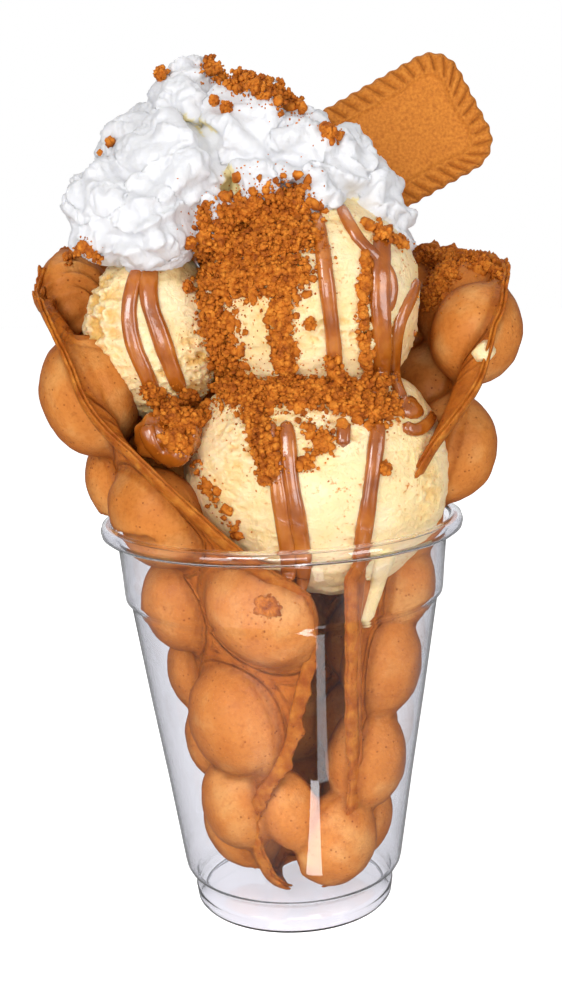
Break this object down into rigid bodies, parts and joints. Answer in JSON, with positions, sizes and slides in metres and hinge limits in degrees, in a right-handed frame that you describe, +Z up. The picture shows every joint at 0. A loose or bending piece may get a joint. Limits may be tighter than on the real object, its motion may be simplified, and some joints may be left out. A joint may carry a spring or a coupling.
{
  "type": "filled bubble waffle cone in a clear cup",
  "caption": "Bubble waffle rolled into a cone and stood in a clear cup, filled with scoops of ice cream, whipped cream, crumbs, caramel spread and a biscuit.",
  "frame": {"origin": "on the cup's axis, in the plane that the cup stands on", "axes": "+Z up along the cup's axis; -Y to the front, where the waffle cone is open; +X to the viewer's right"},
  "size_m": [0.1291, 0.0998, 0.2295],
  "materials": {
    "cup": "clear, thin and glossy",
    "waffle": "golden baked crust",
    "ice_cream_lower": "vanilla ice cream with crumbs and caramel spread",
    "ice_cream_side": "vanilla ice cream with caramel spread",
    "ice_cream_upper": "vanilla ice cream with crumbs and caramel spread",
    "whipped_cream": "soft white whipped cream with crumbs",
    "biscuit": "dry baked biscuit"
  },
  "bodies": {
    "root": {"cup": "cup", "waffle": "waffle", "ice_cream_lower": "ice_cream_lower", "ice_cream_side": "ice_cream_side", "ice_cream_upper": "ice_cream_upper", "whipped_cream": "whipped_cream", "biscuit": "biscuit"}
  },
  "joints": []
}
